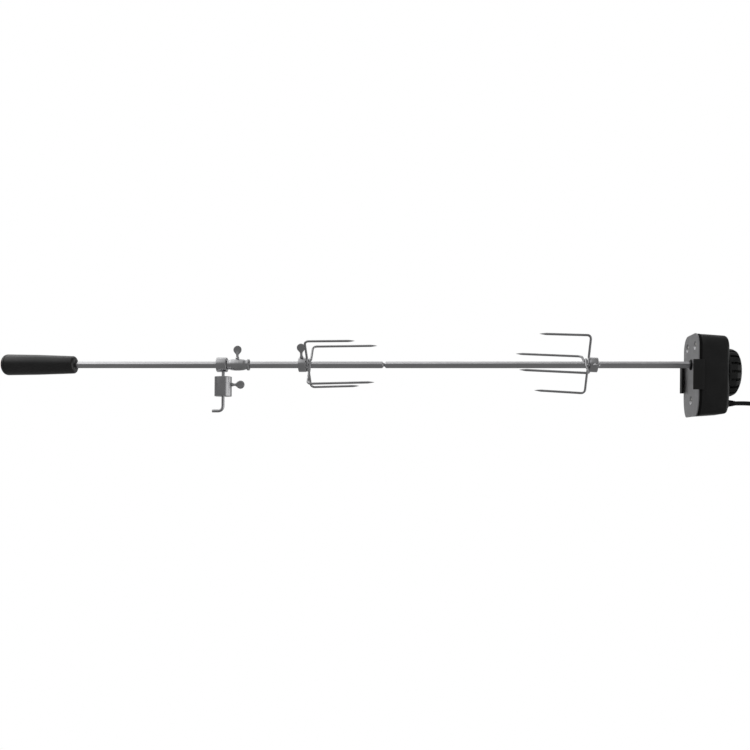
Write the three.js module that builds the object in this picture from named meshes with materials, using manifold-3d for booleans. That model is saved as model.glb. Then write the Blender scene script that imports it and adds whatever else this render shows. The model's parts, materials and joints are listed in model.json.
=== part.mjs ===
// A grill rotisserie kit: a geared mains motor in a vented housing, a two-part square spit with
// a handle, two four-tine meat forks, a grill-edge bushing and an adjustable counterweight.
// Millimetres, +Z up, the spit along X with its handle at -X. The kit stands on z = 0.
//
// Every piece but the cord is drawn about the spit's own axis: x from the front face of the
// motor's mounting plate, y and z from the spit's centre line. `kit` then lifts the lot.

import * as THREE from 'three';
import { mergeVertices } from 'three/addons/utils/BufferGeometryUtils.js';
import Module from 'manifold-3d';

const wasm = await Module();
wasm.setup();

// ---- driving dimensions ----

const AXIS_HEIGHT = 80; // spit axis above the surface that the motor stands on
const GAP = 0.3; // clearance between pieces that touch
const HANDLE_END = -1098;
const CAP_END = 69;
const PLATE_X = -(HANDLE_END + CAP_END) / 2; // centres the whole kit on x = 0

const PLATE = { halfWidth: 41, top: 46, bottom: -AXIS_HEIGHT, corner: 22, thick: 1.5 };
const GASKET = { from: 1.8, to: 6, width: 2.5 };
const HOUSING = { front: 6.3, back: 47, wall: 2.5, draft: 0.054, edge: 5, ventRadius: 33 };
const CAP = { z: -12.2, radius: 37, wall: 2.3, slots: 18, slotWidth: 4, firstSlot: 182 };
const RAIL = { bottom: -41, top: 4.4, reach: 8, thick: 2.1 };
const LIP = { front: -5.6, back: -4.3, inner: 31 }; // the hooked rail's lip, over the bracket's tongue
const SCREW_PLACES = [[-21, 27.5], [21, 27.5], [0, -54.6]]; // (y, z) of the dimpled plate screws
const PILLAR_PLACES = [[25, 12], [27, -28], [-26, 12]];

const BAR = { side: 8, chamfer: 0.3, endChamfer: 3.2 };
const SPIT = { driveEnd: 20, join: -472.8, handleEnd: -973, driveTurn: -12, handleTurn: -7 };
const STUD = { radius: 2.8, length: 13.8 };
const SOCKET = { front: -2.2, back: 22, radius: 7, square: 8.7 };
const BUSH = { front: -1, back: 3.5, bore: 7.3, neck: 8.3, flange: 13 };

const TOOTH = { pressure: 25, addendum: 0.8, dedendum: 1.2, play: 0.3 };
const OUTPUT_GEAR = { teeth: 36, module: 0.9, from: 4, to: 10 };
const IDLER_PINION = { teeth: 12, module: 0.9, from: 4, to: 12 };
const IDLER_WHEEL = { teeth: 44, module: 0.6, from: 11.5, to: 15.5 };
const ROTOR_PINION = { teeth: 12, module: 0.6, from: 11.5, to: 15.5 };
const ROTOR = { y: 0, z: CAP.z };
const IDLER = idlerPlace();

const BORE = 6.1; // round bore of every collar that slides along the square bar
const FORK = { hub: 12.4, radius: 11.35, spread: 46.6, wire: 1.8, bend: 6, jog: 8, short: 69.5, long: 95.5 };
const FORKS = [
  { name: 'fork_1', hubFrom: -609.6, side: 1, shortAt: 135, longAt: 45, screwAt: 110, tilt: 1 },
  { name: 'fork_2', hubFrom: -154, side: -1, shortAt: 112, longAt: 22, screwAt: 187, tilt: 2.6 },
];
const BUSHING = { from: -725.4, to: -689.4, screwX: -709, bodyRadius: 9.2 };
const COLLAR = { from: -742, to: -725.7, radius: 11.6 };
const HANGER = { x: -731.8, radius: 2.5, straightTo: -66, bend: 8, tip: -749.7 };
const WEIGHT = { radius: 13.7, top: -19, bottom: -50.5, screwZ: -31.7 };
const THUMB = { stem: 2, head: 6.65, headThick: 3, headAt: 15, shoulder: 3 };
const HANDLE = { front: -975.7, capSeam: -1089.4, frontRadius: 14, rearRadius: 17 };

const GLAND = { y: -15, z: -60, bore: 3.6, flange: 8.5, from: 33, to: 61 };
const CORD = { radius: 3.3, lift: 1.1 };
const COIL = { x: 664.5, y: 27.7, mean: 36, lane: 6.7, lanes: 3 };

// The cord's two free stretches, in the kit's own frame: from the gland down to the coil's
// bottom outer turn, and from its top outer turn to the plug.
const LEAD_ROUTE = [
  [576.1, -15, 20], [585, -15, 20.1], [595, -15, 19.9], [605, -15, 18.8], [615, -15, 16.6],
  [625, -15, 13.4], [635, -15, 9.9], [645, -15, 6.9], [655, -15, 5.0], [664.5, -15, 4.5],
];
const TAIL_ROUTE = [
  [664.5, -15, 11.2], [674, -15, 11.3], [684, -15, 11.8], [693, -15, 12.5], [702.2, -15, 13],
];
const PLUG = { x: 702.5, y: -15, z: 13, neck: 22, length: 36, halfWidth: 13.5 };

// ---- solids ----

function toManifold(geometry) {
  const bare = geometry.clone();
  bare.deleteAttribute('normal');
  bare.deleteAttribute('uv');
  const merged = mergeVertices(bare, 1e-5);
  const triVerts = Uint32Array.from(merged.index.array);
  const vertProperties = Float32Array.from(merged.attributes.position.array);
  const mesh = new wasm.Mesh({ numProp: 3, vertProperties, triVerts });
  mesh.merge();
  return new wasm.Manifold(mesh);
}

function fromManifold(manifold) {
  const mesh = manifold.getMesh();
  const geometry = new THREE.BufferGeometry();
  geometry.setAttribute('position', new THREE.BufferAttribute(mesh.vertProperties, 3));
  geometry.setIndex(new THREE.BufferAttribute(mesh.triVerts, 1));
  geometry.computeVertexNormals();
  return geometry;
}

function cut(geometry, ...tools) {
  let body = toManifold(geometry);
  for (const tool of tools) body = body.subtract(toManifold(tool));
  return fromManifold(body);
}

function join(geometry, ...others) {
  let body = toManifold(geometry);
  for (const other of others) body = body.add(toManifold(other));
  return fromManifold(body);
}

function common(geometry, other) {
  return fromManifold(toManifold(geometry).intersect(toManifold(other)));
}

// A closed outline in (y, z), drawn along x.
const ALONG_X = new THREE.Matrix4().makeBasis(
  new THREE.Vector3(0, 1, 0), new THREE.Vector3(0, 0, 1), new THREE.Vector3(1, 0, 0),
);

function prism(shape, from, to, curveSegments = 8) {
  const options = { depth: to - from, bevelEnabled: false, curveSegments };
  const geometry = new THREE.ExtrudeGeometry(shape, options);
  return geometry.applyMatrix4(ALONG_X).translate(from, 0, 0);
}

// A solid turned about x, from (x, radius) points listed clockwise as seen with x to the right.
function turned(points, segments = 24) {
  const outline = points.map(([x, radius]) => new THREE.Vector2(radius, x));
  const geometry = new THREE.LatheGeometry(outline, segments);
  return geometry.rotateZ(-Math.PI / 2);
}

function rod(from, to, radius, segments = 16) {
  return turned([[from, 0], [from, radius], [to, radius], [to, 0]], segments);
}

function tubeX(from, to, inner, outer, segments = 24) {
  return turned([[from, inner], [from, outer], [to, outer], [to, inner], [from, inner]], segments);
}

function block(x0, x1, y0, y1, z0, z1) {
  const geometry = new THREE.BoxGeometry(x1 - x0, y1 - y0, z1 - z0);
  return geometry.translate((x0 + x1) / 2, (y0 + y1) / 2, (z0 + z1) / 2);
}

function circleShape(radius, sides) {
  const corners = Array.from({ length: sides }, (_, i) => {
    const angle = (2 * Math.PI * (i + 0.5)) / sides;
    return new THREE.Vector2(radius * Math.cos(angle), radius * Math.sin(angle));
  });
  return new THREE.Shape(corners);
}

// A path that passes its listed points one after another, so a sweep puts a section on each.
class PointPath extends THREE.Curve {
  constructor(points) {
    super();
    this.points = points;
  }

  getPointAt(t) {
    const place = t * (this.points.length - 1);
    const i = Math.min(Math.floor(place), this.points.length - 2);
    return this.points[i].clone().lerp(this.points[i + 1], place - i);
  }

  getTangentAt(t) {
    const last = this.points.length - 1;
    const i = Math.round(t * last);
    const before = this.points[Math.max(i - 1, 0)];
    const after = this.points[Math.min(i + 1, last)];
    return after.clone().sub(before).normalize();
  }
}

function sweep(points, radius, sides) {
  const options = { extrudePath: new PointPath(points), steps: points.length - 1, bevelEnabled: false };
  return new THREE.ExtrudeGeometry(circleShape(radius, sides), options);
}

function smooth(points, steps) {
  return new THREE.CatmullRomCurve3(points, false, 'centripetal').getSpacedPoints(steps);
}

function vectors(points) {
  return points.map(([x, y, z]) => new THREE.Vector3(x, y, z));
}

// ---- scene graph ----

const kit = new THREE.Group();
const assembly = new THREE.Group();
assembly.position.set(PLATE_X, 0, AXIS_HEIGHT);
kit.add(assembly);

const FINISH = {
  galvanised: { color: 0x8b8d8e, roughness: 0.45, metalness: 0.9 },
  chrome: { color: 0xc4c6c8, roughness: 0.22, metalness: 1 },
  steel: { color: 0x9b9da0, roughness: 0.35, metalness: 0.95 },
  black: { color: 0x1b1b1c, roughness: 0.5, metalness: 0 },
  grip: { color: 0x202021, roughness: 0.38, metalness: 0 },
  zinc: { color: 0xd0d0cc, roughness: 0.3, metalness: 0.9 },
  bronze: { color: 0x9a7440, roughness: 0.4, metalness: 0.9 },
  nylon: { color: 0xe6e2d6, roughness: 0.5, metalness: 0 },
  copper: { color: 0xa45a2c, roughness: 0.4, metalness: 0.8 },
  ferrite: { color: 0x3a3a3c, roughness: 0.6, metalness: 0.3 },
  cord: { color: 0x141414, roughness: 0.55, metalness: 0 },
  brass: { color: 0xb8984e, roughness: 0.3, metalness: 0.95 },
};

function place(name, geometry, finish, parent = assembly) {
  const mesh = new THREE.Mesh(geometry, new THREE.MeshStandardMaterial(FINISH[finish]));
  mesh.name = name;
  parent.add(mesh);
  return mesh;
}

// ---- the motor's case ----

function caseOutline(inset) {
  const { halfWidth, top, bottom, corner } = PLATE;
  const w = halfWidth - inset;
  const t = top - inset;
  const b = bottom + inset;
  const r = corner - inset;
  const shape = new THREE.Shape();
  shape.moveTo(-24, b);
  shape.lineTo(24, b);
  shape.bezierCurveTo(34, b, w, -62, w, -48);
  shape.lineTo(w, t - r);
  shape.absarc(w - r, t - r, r, 0, Math.PI / 2);
  shape.lineTo(-(w - r), t);
  shape.absarc(-(w - r), t - r, r, Math.PI / 2, Math.PI);
  shape.lineTo(-w, -48);
  shape.bezierCurveTo(-w, -62, -34, b, -24, b);
  return shape;
}

// Moulding draft: the section shrinks with x about the case's middle height.
function withDraft(geometry) {
  const middle = (PLATE.top + PLATE.bottom) / 2;
  const { array } = geometry.attributes.position;
  for (let i = 0; i < array.length; i += 3) {
    const scale = 1 - (HOUSING.draft * Math.max(array[i] - HOUSING.front, 0)) / HOUSING.back;
    array[i + 1] *= scale;
    array[i + 2] = middle + (array[i + 2] - middle) * scale;
  }
  return geometry;
}

function mountingPlate() {
  const cups = SCREW_PLACES.map(([y, z]) => turned([[0.2, 0], [0.2, 7.6], [4.2, 5.8], [4.2, 0]], 14)
    .translate(0, y, z));
  const dimples = SCREW_PLACES.map(([y, z]) => (
    turned([[-1, 0], [-1, 7], [3, 4.6], [3, 2.3], [6, 2.3], [6, 0]], 14).translate(0, y, z)
  ));
  const sheet = join(prism(caseOutline(0), 0, PLATE.thick, 6), ...cups);
  place('mounting_plate', cut(sheet, rod(-1, 3, BUSH.neck + GAP, 32), ...dimples), 'galvanised');
}

// A soft gasket between the plate and the case.
function caseGasket() {
  const { from, to, width } = GASKET;
  const ring = prism(caseOutline(0.4), from, to, 5);
  place('case_gasket', cut(ring, prism(caseOutline(0.4 + width), from - 1, to + 1, 5)), 'cord');
}

function housingShell() {
  const { front, back, wall, edge, ventRadius } = HOUSING;
  const rounded = new THREE.ExtrudeGeometry(caseOutline(0.4), {
    depth: back - edge, bevelThickness: edge, bevelSize: edge, bevelOffset: -edge,
    bevelSegments: 3, curveSegments: 5,
  }).applyMatrix4(ALONG_X);
  const skin = withDraft(common(rounded, block(front, 100, -60, 60, -100, 60)));
  const hollow = withDraft(prism(caseOutline(0.4 + wall), -5, back - wall, 5));
  const posts = SCREW_PLACES.map(([y, z]) => rod(4.5, back - wall / 2, 4.5, 12).translate(0, y, z));
  const pilots = SCREW_PLACES.map(([y, z]) => rod(4, 24, 1.9, 8).translate(0, y, z));
  const vent = rod(back - 6, back + 6, ventRadius, 36).translate(0, 0, CAP.z);
  const cordHole = rod(back - 6, back + 6, 5.3, 16).translate(0, GLAND.y, GLAND.z);
  const shell = join(cut(skin, hollow), ...posts);
  place('housing_shell', cut(shell, vent, cordHole, ...pilots), 'black');
}

// A domed cap with slots round its side that run on to its shoulder.
function ventCap() {
  const { z, radius, wall, slots, slotWidth, firstSlot } = CAP;
  const foot = HOUSING.back + GAP;
  const dome = turned([
    [CAP_END - wall, 0], [CAP_END - wall - 0.7, 20], [CAP_END - 5, 28.4], [CAP_END - 11, radius - wall - 0.8],
    [foot, radius - wall], [foot, radius], [CAP_END - 10, radius - 0.8], [CAP_END - 5, radius - 3.6],
    [CAP_END - 2, 28], [CAP_END - 0.6, 20], [CAP_END, 0],
  ], 36);
  const cutters = Array.from({ length: slots }, (_, i) => {
    const slot = block(foot + 2.2, CAP_END - 4.5, 26, 40, -slotWidth / 2, slotWidth / 2);
    return slot.rotateX(THREE.MathUtils.degToRad(firstSlot + (360 / slots) * i));
  });
  place('vent_cap', cut(dome, ...cutters).translate(0, 0, z), 'black');
}

// The two black rails that the grill bracket's tongue slides between: a plain guide on one
// edge of the plate and a hooked one on the other.
function rails() {
  const { bottom, top, reach, thick } = RAIL;
  const inner = PLATE.halfWidth + GAP;
  const outer = inner + thick;
  place('guide_rail', block(-reach, reach, -outer, -inner, bottom, top), 'black');
  const wall = block(LIP.front, reach, inner, outer, bottom, top);
  const lip = block(LIP.front, LIP.back, LIP.inner, outer, bottom, top);
  place('hook_rail', join(wall, lip), 'black');
}

function plateScrews() {
  SCREW_PLACES.forEach(([y, z], i) => {
    const profile = [[0.6, 0], [0.8, 2.4], [1.5, 3.6], [2.7, 3.6], [2.7, 1.6], [20, 1.6], [20, 0]];
    place(`plate_screw_${i + 1}`, turned(profile, 16).translate(0, y, z), 'zinc');
  });
}

// ---- the gear head ----

function idlerPlace() {
  const toOutput = ((OUTPUT_GEAR.teeth + IDLER_PINION.teeth) * OUTPUT_GEAR.module) / 2;
  const toRotor = ((ROTOR_PINION.teeth + IDLER_WHEEL.teeth) * ROTOR_PINION.module) / 2;
  const z = (toOutput ** 2 - toRotor ** 2 + ROTOR.z ** 2) / (2 * ROTOR.z);
  return { y: -Math.sqrt(toOutput ** 2 - z ** 2), z };
}

// An involute spur gear's outline with one tooth centred on `phase` radians.
function gearShape({ teeth, module }, phase) {
  const { pressure, addendum, dedendum, play } = TOOTH;
  const angle = THREE.MathUtils.degToRad(pressure);
  const pitch = (teeth * module) / 2;
  const base = pitch * Math.cos(angle);
  const root = pitch - dedendum * module;
  const tip = pitch + addendum * module;
  const involute = (a) => Math.tan(a) - a;
  const halfPitch = Math.PI / (2 * teeth) - play / (2 * pitch);
  const halfAt = (radius) => {
    const a = Math.acos(Math.min(1, base / radius));
    return halfPitch + involute(angle) - involute(a);
  };
  const start = Math.max(base, root);
  const flank = start > root + 0.05 ? [root, start, tip] : [root, tip];
  const shape = new THREE.Shape();
  for (let i = 0; i < teeth; i += 1) {
    const middle = phase + (2 * Math.PI * i) / teeth;
    const rising = flank.map((r) => [r, middle - halfAt(Math.max(r, start))]);
    const falling = flank.map((r) => [r, middle + halfAt(Math.max(r, start))]).reverse();
    for (const [r, a] of [...rising, ...falling]) {
      if (shape.curves.length === 0 && shape.currentPoint.lengthSq() === 0) {
        shape.moveTo(r * Math.cos(a), r * Math.sin(a));
      } else {
        shape.lineTo(r * Math.cos(a), r * Math.sin(a));
      }
    }
  }
  shape.closePath();
  return shape;
}

function gear(spec, phase, boreRadius) {
  const body = prism(gearShape(spec, phase), spec.from, spec.to);
  return cut(body, rod(spec.from - 1, spec.to + 1, boreRadius, 24));
}

function gearHead() {
  const toIdler = Math.atan2(IDLER.z, IDLER.y);
  const idlerToRotor = Math.atan2(ROTOR.z - IDLER.z, ROTOR.y - IDLER.y);
  // a wheel's tooth points at its driver, and the driver has a gap there
  const gapPhase = (direction, teeth) => direction + Math.PI + Math.PI / teeth;
  place('output_gear', gear(OUTPUT_GEAR, toIdler, SOCKET.radius + GAP), 'nylon');
  const wheel = prism(gearShape(IDLER_WHEEL, idlerToRotor), IDLER_WHEEL.from, IDLER_WHEEL.to);
  const pinion = prism(
    gearShape(IDLER_PINION, gapPhase(toIdler, IDLER_PINION.teeth)), IDLER_PINION.from, IDLER_PINION.to,
  );
  const idler = cut(join(wheel, pinion), rod(0, 20, 1.8, 16)).translate(0, IDLER.y, IDLER.z);
  place('idler_gear', idler, 'nylon');
  const small = gear(ROTOR_PINION, gapPhase(idlerToRotor, ROTOR_PINION.teeth), 1.8);
  place('rotor_pinion', small.translate(0, ROTOR.y, ROTOR.z), 'brass');
  place('idler_arbor', rod(PLATE.thick + GAP, 24.3, 1.5, 12).translate(0, IDLER.y, IDLER.z), 'steel');
}

function driveSocket() {
  const { front, back, radius, square } = SOCKET;
  const body = rod(front, back, radius, 32);
  const hole = block(front - 1, SPIT.driveEnd + 0.6, -square / 2, square / 2, -square / 2, square / 2)
    .rotateX(THREE.MathUtils.degToRad(45 + SPIT.driveTurn));
  place('drive_socket', cut(body, hole), 'steel');
  const shoulder = PLATE.thick + GAP;
  place('output_bush', turned([
    [BUSH.front, BUSH.bore], [BUSH.front, BUSH.neck], [shoulder, BUSH.neck], [shoulder, BUSH.flange],
    [BUSH.back, BUSH.flange], [BUSH.back, BUSH.bore], [BUSH.front, BUSH.bore],
  ], 32), 'black');
}

function gearboxFrame() {
  const outline = new THREE.Shape();
  outline.moveTo(-31, -20);
  outline.lineTo(-20, -33);
  outline.lineTo(31, -33);
  outline.lineTo(31, 16);
  outline.lineTo(-31, 16);
  const holes = [
    rod(20, 30, 1.9, 12).translate(0, ROTOR.y, ROTOR.z),
    rod(20, 30, 1.8, 12).translate(0, IDLER.y, IDLER.z),
    ...PILLAR_PLACES.map(([y, z]) => rod(20, 30, 1.7, 12).translate(0, y, z)),
  ];
  place('gearbox_plate', cut(prism(outline, 23, 24.5), ...holes), 'galvanised');
  PILLAR_PLACES.forEach(([y, z], i) => {
    const pillar = cut(rod(PLATE.thick + GAP, 22.7, 3, 12), rod(12, 30, 1.7, 12));
    place(`gearbox_pillar_${i + 1}`, pillar.translate(0, y, z), 'steel');
    const screw = turned([[13, 0], [13, 1.3], [24.8, 1.3], [24.8, 2.7], [26.4, 2.5], [26.8, 0]], 12);
    place(`gearbox_screw_${i + 1}`, screw.translate(0, y, z), 'zinc');
  });
}

// ---- the motor proper: a synchronous can motor with a ferrite rotor ----

function motor() {
  const can = turned([
    [25, 24.8], [25, 26], [45, 26], [45, 4.4], [43.8, 4.4], [43.8, 24.8], [25, 24.8],
  ], 32);
  const leadHole = rod(-4, 4, 3, 12).rotateY(Math.PI / 2).translate(35, 0, -25);
  place('motor_can', cut(can, leadHole).translate(0, ROTOR.y, ROTOR.z), 'steel');
  place('field_coil', tubeX(29, 41, 14, 23.8, 28).translate(0, ROTOR.y, ROTOR.z), 'copper');
  const shaft = turned([
    [11, 0], [11, 1.5], [29.5, 1.5], [29.5, 12.5], [40.5, 12.5], [40.5, 1.5], [47, 1.5], [47, 0],
  ], 20);
  place('rotor', shaft.translate(0, ROTOR.y, ROTOR.z), 'ferrite');
  place('rotor_bush', tubeX(43, 46.4, 1.8, 4, 16).translate(0, ROTOR.y, ROTOR.z), 'bronze');
}

function inletLeads() {
  [['lead_live', 1.3], ['lead_neutral', -1.3]].forEach(([name, offset]) => {
    const route = vectors([
      [GLAND.from - 0.4, GLAND.y - offset, GLAND.z], [31, GLAND.y - offset, -57],
      [32 + offset, -12 - offset / 2, -50], [35 + offset, -6, -45], [35 + offset, 0, -41.5],
      [35 + offset, 0, -36.5],
    ]);
    place(name, sweep(smooth(route, 12), 0.8, 6), 'copper');
  });
}

function strainRelief() {
  const { y, z, bore, flange, from, to } = GLAND;
  const wallFace = HOUSING.back + GAP;
  const relief = turned([
    [from, bore], [from, 5], [wallFace, 5], [wallFace, flange], [wallFace + 6.7, flange], [wallFace + 7.7, 5.6],
    [to, 4.1], [to, bore], [from, bore],
  ], 20);
  place('strain_relief', relief.translate(0, y, z), 'cord');
}

// ---- the spit ----

// A square bar from x0 to x1 with eased corners, each end's corners ground to a cone.
function squareBar(x0, x1, turn, coneAtStart, coneAtEnd) {
  const half = BAR.side / 2;
  const eased = half - BAR.chamfer;
  const shape = new THREE.Shape(
    [[half, eased], [eased, half], [-eased, half], [-half, eased],
      [-half, -eased], [-eased, -half], [eased, -half], [half, -eased]]
      .map(([y, z]) => new THREE.Vector2(y, z)),
  );
  const corner = Math.hypot(half, eased) + 0.2;
  const start = coneAtStart ? [[x0, 0], [x0, corner - BAR.endChamfer], [x0 + BAR.endChamfer, corner]]
    : [[x0 - 1, 0], [x0 - 1, corner]];
  const end = coneAtEnd ? [[x1 - BAR.endChamfer, corner], [x1, corner - BAR.endChamfer], [x1, 0]]
    : [[x1 + 1, corner], [x1 + 1, 0]];
  const envelope = turned([...start, ...end], 24);
  const bar = prism(shape, x0, x1).rotateX(THREE.MathUtils.degToRad(45 + turn));
  return common(bar, envelope);
}

function spit() {
  const { driveEnd, join: seam, handleEnd, driveTurn, handleTurn } = SPIT;
  const stud = rod(seam - STUD.length, seam + 1, STUD.radius, 16);
  const drive = squareBar(seam + GAP / 2, driveEnd, driveTurn, true, true);
  place('spit_drive_half', join(drive, stud), 'chrome');
  const socket = rod(seam - STUD.length - 1.2, seam + 1, STUD.radius + GAP, 16);
  const plain = squareBar(handleEnd, seam - GAP / 2, handleTurn, false, true);
  const tang = rod(handleEnd - 28, handleEnd + 1, 3.4, 16);
  place('spit_handle_half', join(cut(plain, socket), tang), 'chrome');
}

function handle() {
  const { front, capSeam, frontRadius, rearRadius } = HANDLE;
  const grip = turned([
    [capSeam, 0], [capSeam, rearRadius], [-1040, 16.2], [-1000, 14.9], [front - 1, frontRadius],
    [front, frontRadius - 1], [front, 6.3], [-1006, 6.3], [-1006, 0],
  ], 24);
  place('handle_grip', grip, 'grip');
  const cap = turned([
    [HANDLE_END, 0], [HANDLE_END, 8.5], [HANDLE_END + 1.6, 12.6], [HANDLE_END + 4.4, 15.6],
    [capSeam - GAP, rearRadius], [capSeam - GAP, 0],
  ], 24);
  place('handle_end_cap', cap, 'grip');
  place('handle_insert', turned([
    [-1005, 3.7], [-1005, 6], [front - 0.4, 6], [front - 0.4, 3.7], [-1005, 3.7],
  ], 16), 'brass');
}

// ---- collars, forks and thumbscrews ----

// A thumbscrew along +x: x = 0 is the surface that it is screwed into.
function thumbscrew(inside, headAt) {
  const { stem, head, headThick, shoulder } = THUMB;
  const stalk = turned([
    [-inside, 0], [-inside, stem], [GAP, stem], [GAP, shoulder], [1.4, shoulder], [3.4, 2.1],
    [headAt - head + 1, 2.1], [headAt, 1.2], [headAt, 0],
  ], 14);
  const flare = new THREE.CylinderGeometry(2.4, 5, 6, 14, 1).rotateZ(-Math.PI / 2);
  const web = common(
    flare.rotateZ(Math.PI).translate(headAt - 6, 0, 0),
    block(0, 30, -headThick / 2, headThick / 2, -10, 10),
  );
  const paddle = new THREE.CylinderGeometry(head, head, headThick, 20).translate(headAt, 0, 0);
  return join(stalk, paddle, web);
}

// Turns a thumbscrew out along the angle `degrees` in the (y, z) plane, from radius `surface`.
function radialScrew(name, x, surface, degrees, inside, headAt, parent) {
  const screw = thumbscrew(inside, headAt).translate(surface, 0, 0);
  screw.rotateY(-Math.PI / 2).rotateX(THREE.MathUtils.degToRad(degrees - 90)).translate(x, 0, 0);
  place(name, screw, 'chrome', parent);
}

function radialHole(x, radius, degrees, reach = 20) {
  const hole = rod(0, reach, radius, 12).rotateY(-Math.PI / 2);
  return hole.rotateX(THREE.MathUtils.degToRad(degrees - 90)).translate(x, 0, 0);
}

// One wire of a fork in (u, v, w): tine, bend, leg, a jog round the spit, leg, bend, tine.
function wirePath(reach) {
  const { spread, bend, jog } = FORK;
  const half = [[spread - 1, 0, reach]];
  half.push([spread - 0.5, 0, reach / 2], [spread, 0, bend + 4]);
  for (const a of [0, 30, 60, 90]) {
    const t = THREE.MathUtils.degToRad(a);
    half.push([spread - bend + bend * Math.cos(t), 0, bend - bend * Math.sin(t)]);
  }
  for (const u of [26, 15, 11, 7, 3]) {
    const lift = u < 14 ? jog * (0.5 + 0.5 * Math.cos((Math.PI * u) / 14)) : 0;
    half.push([u, lift, 0]);
  }
  const mirrored = half.map(([u, v, w]) => [-u, v, w]).reverse();
  return [...half, ...mirrored];
}

function forkWire(name, x, side, degrees, reach, parent) {
  const angle = THREE.MathUtils.degToRad(degrees);
  const along = new THREE.Vector3(0, Math.cos(angle), Math.sin(angle));
  const across = new THREE.Vector3(0, -Math.sin(angle), Math.cos(angle));
  const place3 = ([u, v, w]) => new THREE.Vector3(x + side * w, 0, 0)
    .addScaledVector(along, u)
    .addScaledVector(across, v);
  const path = wirePath(reach).map(place3);
  const wire = sweep(path, FORK.wire, 8);
  const points = [path[0], path[path.length - 1]].map((tip) => {
    const cone = turned([[0, 0], [0, FORK.wire], [9, 0.25], [9, 0]], 8);
    if (side < 0) cone.rotateZ(Math.PI);
    return cone.translate(tip.x - side * 0.3, tip.y, tip.z);
  });
  place(name, join(wire, ...points), 'chrome', parent);
}

// A fork, drawn about its hub's middle, sits a little tilted on the bar with its tips up.
function fork({ name, hubFrom, side, shortAt, longAt, screwAt, tilt }) {
  const { hub, radius, wire, short, long } = FORK;
  const seat = new THREE.Group();
  seat.position.x = hubFrom + hub / 2;
  seat.rotation.y = -side * THREE.MathUtils.degToRad(tilt);
  assembly.add(seat);
  const end = hub / 2;
  const ring = turned([
    [-end, BORE], [-end, radius - 0.8], [0.8 - end, radius], [end - 0.8, radius],
    [end, radius - 0.8], [end, BORE], [-end, BORE],
  ], 20);
  const screwX = -side;
  place(`${name}_hub`, cut(ring, radialHole(screwX, THUMB.stem + GAP, screwAt)), 'chrome', seat);
  const first = side * (end + wire + GAP);
  const second = first + side * (2 * wire + GAP);
  forkWire(`${name}_short_wire`, first, side, shortAt, short, seat);
  forkWire(`${name}_long_wire`, second, side, longAt, long, seat);
  radialScrew(`${name}_thumbscrew`, screwX, radius, screwAt, radius - 5.9, 16.5, seat);
}

function bushing() {
  const { from, to, screwX, bodyRadius } = BUSHING;
  const barrel = turned([
    [from, BORE], [from, 7.6], [from + 4, 7.6], [from + 6, 8.3], [screwX - 4, bodyRadius],
    [screwX + 4, bodyRadius], [to - 9, 8.6], [to - 6.4, 7.6], [to - 3.6, 7.2], [to - 3.6, 9],
    [to, 9], [to, BORE], [from, BORE],
  ], 20);
  place('bushing', cut(barrel, radialHole(screwX, THUMB.stem + GAP, 90)), 'chrome');
  radialScrew('bushing_thumbscrew', screwX, bodyRadius, 90, bodyRadius - 5.9, THUMB.headAt, assembly);
}

function counterweight() {
  const { x, radius, straightTo, bend, tip } = HANGER;
  const ring = turned([
    [COLLAR.from, BORE], [COLLAR.from, COLLAR.radius - 0.8], [COLLAR.from + 0.8, COLLAR.radius],
    [COLLAR.to - 0.8, COLLAR.radius], [COLLAR.to, COLLAR.radius - 0.8], [COLLAR.to, BORE],
    [COLLAR.from, BORE],
  ], 20);
  place('clamp_collar', cut(ring, radialHole(x, radius + GAP, 270)), 'chrome');

  const footZ = straightTo - bend;
  const turn = [0, 22.5, 45, 67.5, 90].map((a) => {
    const t = THREE.MathUtils.degToRad(a);
    return [x - bend + bend * Math.cos(t), 0, straightTo - bend * Math.sin(t)];
  });
  const route = vectors([
    [x, 0, -5.9], [x, 0, -40], [x, 0, straightTo + 6], ...turn, [tip + 4, 0, footZ], [tip, 0, footZ],
  ]);
  place('counterweight_rod', sweep(route, radius, 12), 'chrome');

  const { radius: r, top, bottom, screwZ } = WEIGHT;
  const drum = turned([
    [bottom, 0], [bottom, r - 0.6], [bottom + 0.6, r], [top - 0.6, r], [top, r - 0.6], [top, 0],
  ], 24);
  drum.rotateY(-Math.PI / 2);
  const bore = rod(bottom - 1, top + 1, radius + 0.4, 16).rotateY(-Math.PI / 2);
  const tapped = rod(0, 20, THUMB.stem + GAP, 12).translate(0, 0, screwZ);
  place('counterweight', cut(drum, bore, tapped).translate(x, 0, 0), 'chrome');
  const screw = thumbscrew(r - radius - 0.6, 14.4).translate(x + r, 0, screwZ);
  place('counterweight_thumbscrew', screw, 'chrome');
}

// ---- the mains cord, wound up for storage beside the motor ----

function coilRing(grow) {
  const { mean, lane, lanes, x, y } = COIL;
  const half = ((lanes - 1) * lane) / 2 + CORD.radius + grow;
  const low = CORD.lift - grow;
  const high = CORD.lift + 2 * CORD.radius + lane + grow;
  const profile = [
    [mean - half, low], [mean + half, low], [mean + half, high], [mean - half, high], [mean - half, low],
  ].map(([r, z]) => new THREE.Vector2(r, z));
  return new THREE.LatheGeometry(profile, 40).rotateX(Math.PI / 2).translate(x, y, 0);
}

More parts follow.
